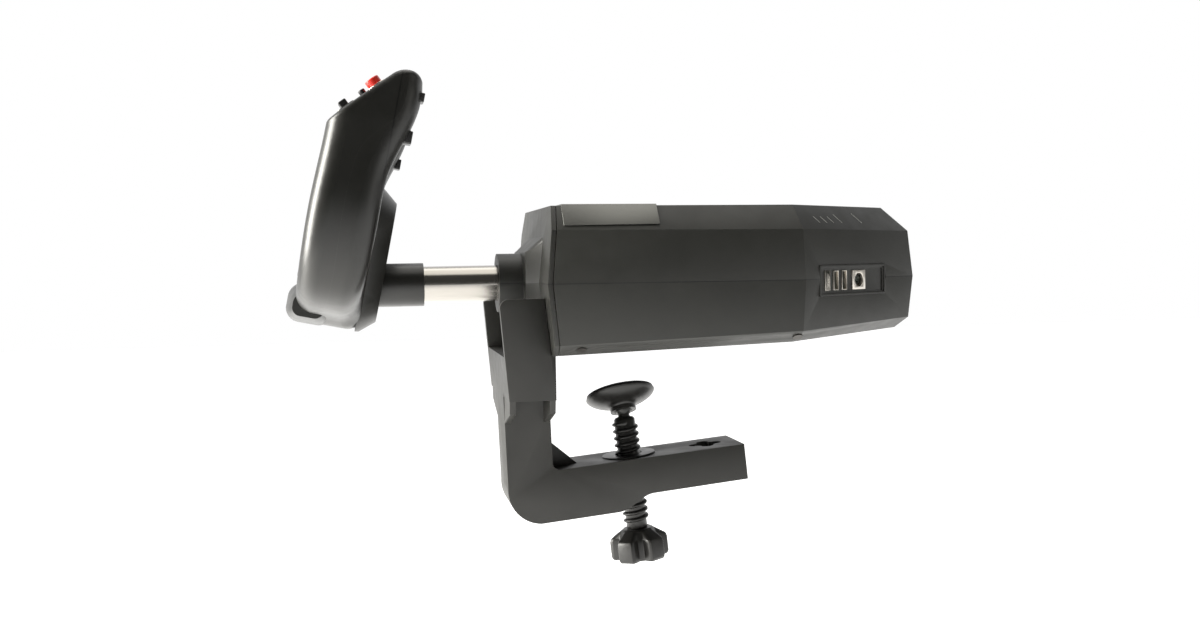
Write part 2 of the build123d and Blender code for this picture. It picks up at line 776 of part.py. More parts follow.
with BuildPart() as front_side:
    with BuildSketch(wheel_side):
        with BuildLine():
            seam = Spline(
                (-8.4, -17), (-6.5, 35), (-6.0, 70), (-2.5, 87),
                (5.8, 98), (14.2, 107.8), (17.4, 119), (17.4, 133),
            )
            Polyline(seam @ 1, (17.4, 160), (-90, 160), (-90, -60), (-8.4, -60), seam @ 0)
        make_face()
    extrude(amount=outline_y, both=True)


def hub_cover(inset):
    """Solid of the hub's rear cover with its surface moved in."""
    tall = hub_cover_top + cover_slope - hub_cover_skirt
    rear = hub_cover_rear - inset
    low = hub_cover_bottom + inset
    with BuildPart(mode=Mode.PRIVATE) as form:
        with BuildSketch(wheel_face(hub_cover_seat, 0, hub_cover_skirt + tall / 2)) as block:
            across = hub_cover_width + 2 * (cover_slope - inset)
            RectangleRounded(across, tall - 2 * inset, hub_cover_corner - inset)
        extrude(block.sketch, amount=rear - hub_cover_seat, taper=cover_taper)
        with BuildSketch(wheel_side.offset(-hub_cover_width)) as profile:
            with BuildLine():
                Polyline((0, 100), (0, low), (rear, low), (rear, 100), close=True)
            make_face()
            fillet(profile.vertices().group_by(Axis.Y)[0].sort_by(Axis.X)[-1], hub_cover_round - inset)
        extrude(profile.sketch, amount=2 * hub_cover_width, mode=Mode.INTERSECT)
    return form.part


# Places of the controls: distance up the facet, or height on the wheel's rear face, and side place
grip_y = 114.0
rear_screw_places = []  # side place, height and depth of the head's face
for y, height, depth in ((96.0, -1.0, 12.4), (115.0, 79.0, 15.6), (26.0, 55.0, hub_cover_rear - 1)):
    rear_screw_places += [(-y, height, depth), (y, height, depth)]
timer_places = (-18.0, 0.0, 18.0)
board_posts = [(y, height) for y in (-34.0, 34.0) for height in (-8.0, 36.0)]
post_start = -27.5

with BuildPart() as wheel_front_shell:
    add(wheel_solid)
    add(wheel_hollow, mode=Mode.SUBTRACT)
    add(front_side.part, mode=Mode.INTERSECT)
    # windows for the display, its buttons and the controls on the facets
    with BuildSketch(wheel_face(-20, 0, display_height, -1)):
        RectangleRounded(display_width + 2 * part_fit, display_tall + 2 * part_fit, 4)
    extrude(amount=30, mode=Mode.SUBTRACT)
    with BuildSketch(wheel_face(-20, 0, timer_height, -1)):
        with Locations(*[(y, 0) for y in timer_places]):
            Circle(timer_diameter / 2 + moving_gap)
    extrude(amount=30, mode=Mode.SUBTRACT)
    for side in (-1, 1):
        with BuildSketch(facet_plane(0, side * grip_y, -8)):
            with Locations((0, main_button_along)):
                Circle(bezel_sleeve / 2)
            if side < 0:
                with Locations((0, small_button_along)):
                    Circle(small_button_diameter / 2 + moving_gap)
            with Locations((0, toggle_along)):
                Rectangle(toggle_width - 2, toggle_length - 2)
        extrude(amount=12, mode=Mode.SUBTRACT)
    # posts for the circuit board
    for y, height in board_posts:
        with BuildSketch(wheel_face(post_start, y, height)):
            Circle(3)
        extrude(amount=wheel_board_depth - post_start)
save(wheel_front_shell, "wheel_front_shell")

with BuildPart() as wheel_rear_shell:
    add(wheel_solid)
    add(wheel_hollow, mode=Mode.SUBTRACT)
    add(front_side.part, mode=Mode.SUBTRACT)
    add(hub_cover(0), mode=Mode.SUBTRACT)
    for side in (-1, 1):
        with BuildSketch(wheel_face(0, side * grip_y, rear_button_height)):
            Rectangle(rear_button_width + 2 * moving_gap, rear_button_tall + 2 * moving_gap)
        extrude(amount=40, mode=Mode.SUBTRACT)
        with BuildSketch(wheel_face(0, side * grip_y, trigger_height)):
            Rectangle(trigger_width + 2 * moving_gap, trigger_tall + 2 * moving_gap)
        extrude(amount=40, mode=Mode.SUBTRACT)
    for y, height, _ in rear_screw_places:
        with BuildSketch(wheel_face(0, y, height)):
            Circle(wheel_screw_head / 2 + part_fit)
        extrude(amount=40, mode=Mode.SUBTRACT)
save(wheel_rear_shell, "wheel_rear_shell")

with BuildPart() as hub_rear_cover:
    add(hub_cover(0))
    add(hub_cover(hub_cover_wall), mode=Mode.SUBTRACT)
    rod(shaft_start, collar_end, collar_diameter / 2, mode=Mode.SUBTRACT)
    for y, height, _ in rear_screw_places:
        with BuildSketch(wheel_face(0, y, height)):
            Circle(wheel_screw_head / 2 + part_fit)
        extrude(amount=40, mode=Mode.SUBTRACT)
save(hub_rear_cover, "hub_rear_cover")

with BuildPart() as wheel_screws:
    for y, height, depth in rear_screw_places:
        with BuildSketch(wheel_face(depth, y, height, -1)):
            Circle(wheel_screw_head / 2)
        extrude(amount=2.2)
        with BuildSketch(wheel_face(depth, y, height, -1)):
            Circle(wheel_screw_head / 4)
        extrude(amount=12)
save(wheel_screws, "wheel_screws")

with BuildPart() as shaft_collar:
    rod(shaft_start + 2, collar_end, collar_diameter / 2)
    rod(shaft_start, collar_end + 1, shaft_diameter / 2, mode=Mode.SUBTRACT)
save(shaft_collar, "shaft_collar")

with BuildPart() as shaft:
    rod(shaft_start, shaft_end, shaft_diameter / 2)
    rod(shaft_start - 1, shaft_end + 1, shaft_diameter / 2 - 2.5, mode=Mode.SUBTRACT)
save(shaft, "shaft")

with BuildPart() as display_bezel:
    with BuildSketch(wheel_face(display_back, 0, display_height, -1)):
        RectangleRounded(display_width, display_tall, 4)
    extrude(amount=display_back - display_front)
    with BuildSketch(wheel_face(display_back, 0, display_height, -1)):
        RectangleRounded(display_width - 8, display_tall - 8, 2)
    extrude(amount=8, mode=Mode.SUBTRACT)
save(display_bezel, "display_bezel")

with BuildPart() as display_panel:
    with BuildSketch(wheel_face(display_back, 0, display_height, -1)):
        RectangleRounded(display_width - 8, display_tall - 8, 2)
    extrude(amount=panel_thickness)
save(display_panel, "display_panel")

with BuildPart() as display_lens:
    with BuildSketch(wheel_face(display_back - panel_thickness, 0, display_height, -1)):
        RectangleRounded(display_width - 8, display_tall - 8, 2)
    extrude(amount=1.6)
save(display_lens, "display_lens")

with BuildPart() as wheel_board:
    with BuildSketch(wheel_face(wheel_board_depth, 0, 14)):
        Rectangle(76, 54)
    extrude(amount=board_thickness)
save(wheel_board, "wheel_board")

for number, y in enumerate(timer_places, start=1):
    with BuildPart() as timer_button:
        with BuildSketch(wheel_face(-24, y, timer_height, -1)):
            Circle(timer_diameter / 2)
        extrude(amount=6.8)
    save(timer_button, f"timer_button_{number}")

with BuildPart() as toggle_frames:
    for side in (-1, 1):
        with BuildSketch(facet_plane(toggle_along, side * grip_y)):
            RectangleRounded(toggle_width + 3, toggle_length + 3, 2.5)
            Rectangle(toggle_width - 2, toggle_length - 2, mode=Mode.SUBTRACT)
        extrude(amount=1.0)
save(toggle_frames, "toggle_frames")

with BuildPart() as small_button:
    with BuildSketch(facet_plane(small_button_along, -grip_y, -5)):
        Circle(small_button_diameter / 2)
    extrude(amount=5 + small_button_out)
save(small_button, "small_button")

for side, name in ((-1, "right"), (1, "left")):
    with BuildPart() as toggle:
        pivot = facet_plane(toggle_along, side * grip_y, -1).origin
        with BuildSketch(Plane(origin=pivot, x_dir=facet_along, z_dir=(0, -1, 0))):
            Circle(toggle_length / 2 - 1.8)
            with Locations((0, 3.0)):
                Rectangle(5.2, 6.0)
        extrude(amount=toggle_width / 2 - 1 - moving_gap, both=True)
    save(toggle, f"toggle_{name}")

    with BuildPart() as rear_button:
        with BuildSketch(wheel_face(rear_button_back - 8, side * grip_y, rear_button_height)):
            RectangleRounded(rear_button_width, rear_button_tall, 0.8)
        extrude(amount=8)
    save(rear_button, f"rear_button_{name}")

    with BuildPart() as trigger:
        with BuildSketch(wheel_face(trigger_back - 9, side * grip_y, trigger_height)):
            RectangleRounded(trigger_width, trigger_tall, 1.2)
        extrude(amount=9)
    save(trigger, f"trigger_{name}")

with BuildPart() as button_bezel:
    with BuildSketch(facet_plane(main_button_along, -grip_y)):
        Circle(bezel_diameter / 2)
    extrude(amount=1.0)
    with BuildSketch(facet_plane(main_button_along, -grip_y)):
        Circle(bezel_sleeve / 2)
    extrude(amount=-5.0)
    with BuildSketch(facet_plane(main_button_along, -grip_y, -6)):
        Circle(main_button / 2 + moving_gap)
    extrude(amount=10, mode=Mode.SUBTRACT)
save(button_bezel, "button_bezel")

with BuildPart() as red_button:
    with BuildSketch(facet_plane(main_button_along, -grip_y, -5)):
        Circle(main_button / 2)
    extrude(amount=5 + main_button_out)
    fillet(red_button.edges().filter_by(GeomType.CIRCLE).sort_by(Axis.Z)[-1], 0.8)
save(red_button, "red_button")

with BuildPart() as hat_base:
    with BuildSketch(facet_plane(main_button_along, grip_y)):
        Circle(hat_diameter / 2 + 2.5)
    extrude(amount=1.0)
    with BuildSketch(facet_plane(main_button_along, grip_y)):
        Circle(bezel_sleeve / 2)
    extrude(amount=-5.0)
    with BuildSketch(facet_plane(main_button_along, grip_y, -6)):
        Circle(hat_stem / 2 + hat_gap)
    extrude(amount=10, mode=Mode.SUBTRACT)
save(hat_base, "hat_base")

with BuildPart() as pov_hat:
    with BuildSketch(facet_plane(main_button_along, grip_y, -3)):
        Circle(hat_stem / 2)
    extrude(amount=3 + 2.6)
    with BuildSketch(facet_plane(main_button_along, grip_y, 2.6)):
        Circle(hat_diameter / 2)
    extrude(amount=2.6)
save(pov_hat, "pov_hat")

# ---------------------------------------------------------------- clamp
tilt = radians(clamp_tilt)
screw_upwards = Vector(-sin(tilt), 0, cos(tilt))
screw_crossing = Vector(screw_x, 0, screw_z)
side_plane = Plane(origin=(0, 0, 0), x_dir=(1, 0, 0), z_dir=(0, -1, 0))


def screw_plane(along):
    """Plane across the clamp screw, a distance above the arm's top."""
    return Plane(origin=screw_crossing + screw_upwards * along, x_dir=(0, 1, 0), z_dir=screw_upwards)


def round_bar(bottom, top, radius, mode=Mode.ADD):
    """Round bar along the clamp screw's axis."""
    with BuildSketch(screw_plane(bottom)) as section:
        Circle(radius)
    extrude(section.sketch, amount=top - bottom, mode=mode)


with BuildPart() as clamp_body:
    # arm and upright, one width
    with BuildSketch(side_plane) as arm_side:
        with BuildLine():
            l1 = Line((-29.5, -20), (-27, -94))
            l2 = RadiusArc(l1 @ 1, (-4, -119.8), -heel_radius)
            l3 = Line(l2 @ 1, (50, -114.5))
            l4 = Spline((50, -114.5), (58, -112), (70, -104), (78, -101.8), tangents=((1, 0.09), (1, 0.09)))
            l5 = Line(l4 @ 1, (arm_tip, -95))
            l6 = Line(l5 @ 1, (arm_tip - 2.5, -70))
            l7 = Line(l6 @ 1, (throat_depth + 2, -83))
            l8 = Line(l7 @ 1, (throat_depth, -20))
            l9 = Line(l8 @ 1, l1 @ 0)
        make_face()
        fillet(arm_side.vertices().sort_by_distance((throat_depth + 2, -83, 0))[0], throat_round)
    extrude(amount=upright_width / 2, both=True)
    # wide head
    with BuildSketch(side_plane) as wide_head:
        with BuildLine():
            Polyline(
                (clamp_front + 5.5, wing_bottom), (clamp_front, cheek_top), (-4.4, cheek_top),
                (-0.5, 0.5), (-0.5, 0), (throat_depth, -0.5), (throat_depth, wing_bottom),
                (clamp_front + 5.5, wing_bottom),
            )
        make_face()
        fillet(wide_head.vertices().group_by(Axis.Y)[-1].sort_by(Axis.X)[0], cheek_round)
    extrude(amount=clamp_width / 2, both=True)
    # room between the cheeks for the boss and its pedestal
    with BuildSketch(Plane.XY.offset(-0.6)):
        Rectangle(200, clamp_width - 2 * cheek_thickness)
    extrude(amount=100, mode=Mode.SUBTRACT)
    # open pockets under the wings, between a front and a rear rib
    for side in (-1, 1):
        for x in (clamp_front + 6, throat_depth - rib_thickness):
            with BuildSketch(Plane(origin=(x, 0, 0), x_dir=(0, 1, 0), z_dir=(1, 0, 0))):
                Polygon(
                    (side * (upright_width / 2 - 1), wing_bottom + 1),
                    (side * (clamp_width / 2 - 3), wing_bottom + 1),
                    (side * (clamp_width / 2 - 5), wing_bottom - rib_drop + 4),
                    (side * (upright_width / 2 - 1), wing_bottom - rib_drop - 6),
                    align=None,
                )
            extrude(amount=rib_thickness)
    # gusset in the inner corner
    with BuildSketch(side_plane):
        Polygon((throat_depth - 1, -62), (24, -80.8), (24, -83), (throat_depth - 1, -84), align=None)
    extrude(amount=gusset_thickness / 2, both=True)
    round_bar(-insert_depth, 20, insert_diameter / 2, mode=Mode.SUBTRACT)
    round_bar(-60, 0, screw_diameter / 2 + screw_gap + 0.5, mode=Mode.SUBTRACT)
    round_bar(insert_flange_height - 1.2, 20, insert_flange / 2, mode=Mode.SUBTRACT)
    with BuildSketch(Plane(origin=(lobe_hole_x, 0, -60), x_dir=(1, 0, 0), z_dir=screw_upwards)):
        Circle(8)
        with PolarLocations(7.4, 4):
            Circle(4.6)
    extrude(amount=-60, mode=Mode.SUBTRACT)
    for y, z in cheek_bolt_places:
        rod(-bolt_length + 3, 2, bolt_diameter / 2, y, z, mode=Mode.SUBTRACT)
save(clamp_body, "clamp_body")

with BuildPart() as clamp_bolts:
    for y, z in cheek_bolt_places:
        rod(-bolt_length + 4, 3.2, bolt_diameter / 2, y, z)
        rod(3.2, 5.2, bolt_diameter, y, z)
save(clamp_bolts, "clamp_bolts")

with BuildPart() as clamp_insert:
    round_bar(-insert_depth, insert_flange_height, insert_diameter / 2)
    round_bar(insert_flange_height - 1.2, insert_flange_height, insert_flange / 2)
    round_bar(-60, 20, screw_diameter / 2 + screw_gap, mode=Mode.SUBTRACT)
save(clamp_insert, "clamp_insert")

with BuildPart() as clamp_screw:
    round_bar(knob_top, neck_bottom, screw_root / 2)
    for turn in range(int((neck_bottom - knob_top) / screw_pitch) - 1):
        base = knob_top + 2 + turn * screw_pitch
        with BuildSketch(Plane(origin=screw_crossing, x_dir=(cos(tilt), 0, sin(tilt)), z_dir=(0, -1, 0))):
            Polygon(
                (screw_root / 2 - 1, base - 0.6), (screw_diameter / 2, base + 1.2),
                (screw_diameter / 2, base + 2.4), (screw_root / 2 - 1, base + 4.2), align=None,
            )
        revolve(axis=Axis(screw_crossing, screw_upwards))
    round_bar(neck_bottom, ball_height, ball_neck / 2)
save(clamp_screw, "clamp_screw")

with BuildPart() as swivel_ball:
    ball_centre = screw_crossing + screw_upwards * ball_height
    with Locations(ball_centre):
        Sphere(ball_radius)
    bore = ball_neck / 2 + ball_bore_gap
    round_bar(ball_height - 2 * ball_radius, ball_height + ball_bore_gap, bore, mode=Mode.SUBTRACT)
save(swivel_ball, "swivel_ball")

with BuildPart() as clamp_knob:
    with BuildSketch(screw_plane(knob_top - knob_height)):
        Circle(knob_diameter / 2 - 4)
        with PolarLocations(knob_diameter / 2 - 6, 5):
            Circle(6)
    extrude(amount=knob_height - 6)
    with BuildSketch(screw_plane(knob_top - 6)):
        Circle(knob_diameter / 2 - 4)
    extrude(amount=6, taper=38)
    round_bar(knob_top - knob_height - 1, knob_top + 1, screw_root / 2 - 2.5, mode=Mode.SUBTRACT)
save(clamp_knob, "clamp_knob")

# swivelling pad, resting flopped over with its near edge up
pad_out = screw_upwards.rotate(Axis.X, -pad_flop)


def pad_plane(out):
    """Plane across the pad, a distance above the ball's middle."""
    return Plane(origin=ball_centre + pad_out * out, x_dir=(1, 0, 0), z_dir=pad_out)


pad_top = ball_radius + 1.5 + pad_thickness - pad_face
pad_across = Vector(0, 1, 0).cross(pad_out).normalized()

with BuildPart() as pad_disc:
    with BuildSketch(Plane(origin=ball_centre, x_dir=pad_across, z_dir=pad_across.cross(pad_out))):
        with BuildLine():
            flare = Spline(
                (pad_diameter / 2 - 0.4, pad_top - pad_rim),
                (pad_diameter / 2 - 4.5, pad_top - pad_rim - 3.4),
                (pad_diameter / 2 - 11, pad_top - pad_rim - 6.0), (socket_diameter / 2, 0.8),
                tangents=((-0.7, -1), (-0.3, -1)),
            )
            Polyline(
                flare @ 1, (socket_diameter / 2, -2), (0, -2), (0, pad_top),
                (pad_diameter / 2 - 0.4, pad_top), (pad_diameter / 2, pad_top - pad_rim / 2), flare @ 0,
            )
        make_face()
    revolve(axis=Axis(ball_centre, pad_out))
    with Locations(ball_centre):
        Sphere(ball_radius + ball_gap, mode=Mode.SUBTRACT)
    with BuildSketch(pad_plane(-2.5)):
        Circle(socket_mouth / 2)
    extrude(amount=3, taper=20, mode=Mode.SUBTRACT)
save(pad_disc, "pad_disc")

with BuildPart() as pad_facing:
    with BuildSketch(pad_plane(pad_top)):
        Circle(pad_diameter / 2 - 0.8)
    extrude(amount=pad_face)
save(pad_facing, "pad_facing")
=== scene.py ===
"""Looks of the desk-clamp flight yoke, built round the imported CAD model. Metres, in the CAD frame."""
import json
import math
from collections import Counter

import bmesh
import bpy
from mathutils import Matrix, Vector
from mathutils.bvhtree import BVHTree


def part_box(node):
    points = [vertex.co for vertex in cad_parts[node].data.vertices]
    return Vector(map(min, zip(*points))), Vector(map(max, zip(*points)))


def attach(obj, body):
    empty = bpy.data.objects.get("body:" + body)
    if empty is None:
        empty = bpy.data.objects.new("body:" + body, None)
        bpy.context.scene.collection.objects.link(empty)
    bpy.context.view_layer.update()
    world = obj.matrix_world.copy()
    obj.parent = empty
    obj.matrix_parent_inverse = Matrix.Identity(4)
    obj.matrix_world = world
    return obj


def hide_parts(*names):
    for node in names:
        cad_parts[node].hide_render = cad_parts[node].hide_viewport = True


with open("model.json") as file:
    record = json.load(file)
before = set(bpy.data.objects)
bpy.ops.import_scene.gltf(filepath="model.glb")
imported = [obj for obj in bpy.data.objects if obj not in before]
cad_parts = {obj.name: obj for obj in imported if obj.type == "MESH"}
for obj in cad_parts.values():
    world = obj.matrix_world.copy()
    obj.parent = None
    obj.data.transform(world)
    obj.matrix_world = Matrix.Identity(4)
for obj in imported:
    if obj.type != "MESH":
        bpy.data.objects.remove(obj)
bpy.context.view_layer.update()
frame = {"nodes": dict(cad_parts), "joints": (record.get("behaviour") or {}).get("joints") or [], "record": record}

MM = 0.001
nodes = frame["nodes"]
joints = {joint["name"]: joint for joint in frame["joints"]}
slot_of = {part["node"]: part["material_slot"] for part in frame["record"]["subparts"]}


# ---------------------------------------------------------------- materials
def new_material(name):
    """A material's node tree, its Principled shader and the object coordinates."""
    material = bpy.data.materials.new(name)
    material.use_nodes = True
    tree = material.node_tree
    coordinates = tree.nodes.new("ShaderNodeTexCoord")
    return material, tree, tree.nodes["Principled BSDF"], coordinates.outputs["Object"]


def noise(tree, vector, scale, detail=4.0, stretch=None):
    """Noise in cycles per metre, stretched along an axis if asked."""
    texture = tree.nodes.new("ShaderNodeTexNoise")
    texture.inputs["Scale"].default_value = scale
    texture.inputs["Detail"].default_value = detail
    if stretch:
        mapping = tree.nodes.new("ShaderNodeMapping")
        mapping.inputs["Scale"].default_value = stretch
        tree.links.new(vector, mapping.inputs["Vector"])
        vector = mapping.outputs["Vector"]
    tree.links.new(vector, texture.inputs["Vector"])
    return texture.outputs["Fac"]


def ramp(tree, value, low, high, low_at=0.3, high_at=0.72):
    """Colour going from low to high as the value rises."""
    node = tree.nodes.new("ShaderNodeValToRGB")
    for element, position, colour in zip(node.color_ramp.elements, (low_at, high_at), (low, high)):
        element.position = position
        element.color = (*colour, 1.0)
    tree.links.new(value, node.inputs["Fac"])
    return node.outputs["Color"]


def spread(tree, value, low, high):
    """Noise carried to the range low to high."""
    node = tree.nodes.new("ShaderNodeMapRange")
    node.inputs["From Min"].default_value = 0.3
    node.inputs["From Max"].default_value = 0.7
    node.inputs["To Min"].default_value = low
    node.inputs["To Max"].default_value = high
    tree.links.new(value, node.inputs["Value"])
    return node.outputs["Result"]


def bump(tree, shader, height, strength, distance):
    node = tree.nodes.new("ShaderNodeBump")
    node.inputs["Strength"].default_value = strength
    node.inputs["Distance"].default_value = distance
    tree.links.new(height, node.inputs["Height"])
    tree.links.new(node.outputs["Normal"], shader.inputs["Normal"])


def edge_mask(tree, radius, sharpness=6.0):
    """1 on convex edges, which are lightened for rubbed wear and as a painted highlight, and 0 on flat faces, from
    how far a bevelled normal leans.
    """
    bevel = tree.nodes.new("ShaderNodeBevel")
    bevel.samples = 4
    bevel.inputs["Radius"].default_value = radius
    geometry = tree.nodes.new("ShaderNodeNewGeometry")
    dot = tree.nodes.new("ShaderNodeVectorMath")
    dot.operation = "DOT_PRODUCT"
    tree.links.new(bevel.outputs["Normal"], dot.inputs[0])
    tree.links.new(geometry.outputs["Normal"], dot.inputs[1])
    leaning = tree.nodes.new("ShaderNodeMapRange")
    leaning.inputs["From Min"].default_value = 1.0
    leaning.inputs["From Max"].default_value = 1.0 - 1.0 / sharpness
    tree.links.new(dot.outputs["Value"], leaning.inputs["Value"])
    return leaning.outputs["Result"]


def mix_colour(tree, factor, first, second):
    node = tree.nodes.new("ShaderNodeMix")
    node.data_type = "RGBA"
    tree.links.new(factor, node.inputs["Factor"])
    tree.links.new(first, node.inputs[6])
    node.inputs[7].default_value = (*second, 1.0)
    return node.outputs[2]


def seam_mask(tree, where, axis, level, half_width):
    """1 inside a thin band across an axis at a level, fading to 0 at the band's edges."""
    along = tree.nodes.new("ShaderNodeVectorMath")
    along.operation = "DOT_PRODUCT"
    along.inputs[1].default_value = axis
    tree.links.new(where, along.inputs[0])
    away = tree.nodes.new("ShaderNodeMath")
    away.operation = "SUBTRACT"
    away.inputs[1].default_value = level
    tree.links.new(along.outputs["Value"], away.inputs[0])
    distance = tree.nodes.new("ShaderNodeMath")
    distance.operation = "ABSOLUTE"
    tree.links.new(away.outputs["Value"], distance.inputs[0])
    band = tree.nodes.new("ShaderNodeMapRange")
    band.inputs["From Min"].default_value = half_width * 0.6
    band.inputs["From Max"].default_value = half_width
    band.inputs["To Min"].default_value = 1.0
    band.inputs["To Max"].default_value = 0.0
    tree.links.new(distance.outputs["Value"], band.inputs["Value"])
    return band.outputs["Result"]


def moulded_plastic(name, colour, roughness, grain=2600.0, depth=0.03, wear_and_highlight=1.7, gloss=0.5, seam=None):
    """Moulded plastic: spark-eroded grain, flow marks, uneven gloss, rubbed edges that are also lightened as a
    painted highlight, and a parting line darkened as painted shade of its groove.
    """
    material, tree, shader, where = new_material(name)
    darker = [channel * 0.88 for channel in colour]
    lighter = [min(1.0, channel * 1.14) for channel in colour]
    base = ramp(tree, noise(tree, where, 26.0, 5.0), darker, lighter)
    # partly painted highlight: convex edges are lightened both as rubbed wear and to stand for bright bevel
    # highlights
    rubbed_and_highlit = [min(1.0, channel * wear_and_highlight + 0.004) for channel in colour]
    skin = mix_colour(tree, edge_mask(tree, 0.5 * MM), base, rubbed_and_highlit)
    if seam:
        # painted shade: the parting line is darkened to stand for the shadow in the groove between the shells
        painted_groove_shade = [channel * 0.12 for channel in colour]
        skin = mix_colour(tree, seam_mask(tree, where, *seam), skin, painted_groove_shade)
    tree.links.new(skin, shader.inputs["Base Color"])
    tree.links.new(
        spread(tree, noise(tree, where, 70.0), roughness - 0.04, roughness + 0.05), shader.inputs["Roughness"]
    )
    bump(tree, shader, noise(tree, where, grain, 2.0), 0.35, depth * MM)
    shader.inputs["Specular IOR Level"].default_value = gloss
    return material


def metal(name, colour, roughness, stretch, scale=900.0, depth=0.01):
    """Metal with drawn or brushed lines along one direction and slight colour variation."""
    material, tree, shader, where = new_material(name)
    shader.inputs["Metallic"].default_value = 1.0
    lines = noise(tree, where, scale, 3.0, stretch)
    darker = [channel * 0.88 for channel in colour]
    lighter = [min(1.0, channel * 1.06) for channel in colour]
    tree.links.new(ramp(tree, lines, darker, lighter, 0.2, 0.8), shader.inputs["Base Color"])
    tree.links.new(spread(tree, lines, roughness * 0.8, roughness * 1.25), shader.inputs["Roughness"])
    bump(tree, shader, lines, 0.2, depth * MM)
    return material


def lens_material():
    """Clear moulded window with faintly uneven gloss."""
    material, tree, shader, where = new_material("display_window")
    shader.inputs["Transmission Weight"].default_value = 0.9
    shader.inputs["Base Color"].default_value = (0.75, 0.8, 0.78, 1.0)
    tree.links.new(spread(tree, noise(tree, where, 90.0), 0.04, 0.1), shader.inputs["Roughness"])
    return material


def seam_level(members, axis):
    """Level along an axis that holds the most vertices of two shells: the plane where they meet."""
    step = 0.1 * MM
    places = [vertex.co for node in members for vertex in nodes[node].data.vertices]
    levels = Counter(round(axis.dot(place) / step) for place in places)
    return levels.most_common(1)[0][0] * step


wheel_depth = Vector(joints["timer_button_1_press"]["axis"]).normalized()
wheel_seam = (wheel_depth, seam_level(("wheel_front_shell", "wheel_rear_shell"), wheel_depth), 0.45 * MM)
housing_seam = ((0.0, 0.0, 1.0), 48.0 * MM, 0.40 * MM)

materials = {
    "dark_plastic": moulded_plastic("housing_plastic", (0.0160, 0.0161, 0.0136), 0.47, seam=housing_seam),
    "wheel_plastic": moulded_plastic(
        "wheel_plastic", (0.0105, 0.0104, 0.0090), 0.34, 3200.0, 0.012, 1.5, seam=wheel_seam
    ),
    "clamp_plastic": moulded_plastic("clamp_body_plastic", (0.0170, 0.0165, 0.0140), 0.47, 2400.0, 0.03),
    "control_plastic": moulded_plastic("control_plastic", (0.010, 0.010, 0.010), 0.33, 3600.0, 0.01, 1.5),
    "screw_plastic": moulded_plastic("screw_plastic", (0.0105, 0.0100, 0.0090), 0.36, 2600.0, 0.015),
    "port_panel_plastic": moulded_plastic("port_panel_plastic", (0.0155, 0.0156, 0.0135), 0.47),
    "port_plastic": moulded_plastic("port_core_plastic", (0.008, 0.014, 0.009), 0.4),
    "red_plastic": moulded_plastic("red_cap_plastic", (0.70, 0.028, 0.016), 0.27, 3000.0, 0.006, 1.1),
    "bush_plastic": moulded_plastic("acetal", (0.62, 0.60, 0.55), 0.4),
    "marking": moulded_plastic("pale_print", (0.30, 0.30, 0.28), 0.5, 3000.0, 0.005),
    "rubber": moulded_plastic("rubber", (0.016, 0.016, 0.016), 0.72, 1800.0, 0.05),
    "sensor": moulded_plastic("sensor_case", (0.03, 0.035, 0.06), 0.4),
    "board": moulded_plastic("solder_mask", (0.015, 0.11, 0.04), 0.3, 1200.0, 0.02),
    "display_grey": moulded_plastic("display_reflector", (0.30, 0.34, 0.27), 0.5, 4000.0, 0.005),
    "display_glass": lens_material(),
    "chrome_shaft": metal("chrome", (0.42, 0.40, 0.37), 0.20, (1.0, 60.0, 60.0), 40.0, 0.002),
    "steel": metal("ground_steel", (0.60, 0.60, 0.59), 0.28, (0.2, 3.0, 3.0)),
    "screw_steel": metal("black_oxide_steel", (0.07, 0.065, 0.06), 0.38, (1.0, 1.0, 1.0)),
    "spring_steel": metal("drawn_steel", (0.50, 0.49, 0.47), 0.3, (1.0, 1.0, 1.0)),
    "bright_metal": metal("plated_metal", (0.70, 0.66, 0.60), 0.32, (1.0, 1.0, 0.2), 1500.0),
    "silver_plate": metal("satin_aluminium", (0.19, 0.19, 0.18), 0.40, (0.08, 2.0, 2.0), 1600.0),
    "brass": metal("turned_brass", (0.72, 0.50, 0.22), 0.3, (1.0, 3.0, 3.0)),
}
look_of = dict(slot_of)
for node in ("wheel_front_shell", "wheel_rear_shell", "hub_rear_cover", "shaft_collar"):
    look_of[node] = "wheel_plastic"
look_of["clamp_insert"] = "control_plastic"
look_of["toggle_frames"] = "silver_plate"


def paint(piece, look):
    piece.data.materials.clear()
    piece.data.materials.append(materials[look])


# ---------------------------------------------------------------- mesh helpers
def smooth(piece, angle=32.0):
    piece.data.shade_smooth()
    piece.data.set_sharp_from_angle(angle=math.radians(angle))


def bake(piece):
    """Keep a piece's evaluated mesh and drop its modifiers."""
    mesh = bpy.data.meshes.new_from_object(piece.evaluated_get(bpy.context.evaluated_depsgraph_get()))
    piece.modifiers.clear()
    old = piece.data
    piece.data = mesh
    bpy.data.meshes.remove(old)


def bevel(piece, radius, segments=3, angle=25.0):
    """Round a piece's sharp edges."""
    rounding = piece.modifiers.new("edges", "BEVEL")
    rounding.width = radius * MM
    rounding.segments = segments
    rounding.limit_method = "ANGLE"
    rounding.angle_limit = math.radians(angle)
    bake(piece)


def add_piece(name, shape, node, look, stands_for=True):
    """Show a bmesh as a named piece that moves with a CAD node's body and stands for the node."""
    mesh = bpy.data.meshes.new(name)
    shape.normal_update()
    shape.to_mesh(mesh)
    shape.free()
    piece = bpy.data.objects.new(name, mesh)
    bpy.context.scene.collection.objects.link(piece)
    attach(piece, body_of(node))
    if stands_for:
        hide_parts(node)
    paint(piece, look)
    return piece


def body_of(node):
    for body, members in frame["record"]["behaviour"]["bodies"].items():
        if node in members:
            return body


def clean_shape(node, flat_angle=0.2):
    """A CAD node's mesh, welded, with its flat faces joined into polygons."""
    shape = bmesh.new()
    shape.from_mesh(nodes[node].data)
    bmesh.ops.remove_doubles(shape, verts=shape.verts, dist=1e-6)
    bmesh.ops.dissolve_limit(
        shape, angle_limit=math.radians(flat_angle), verts=shape.verts, edges=shape.edges
    )
    return shape


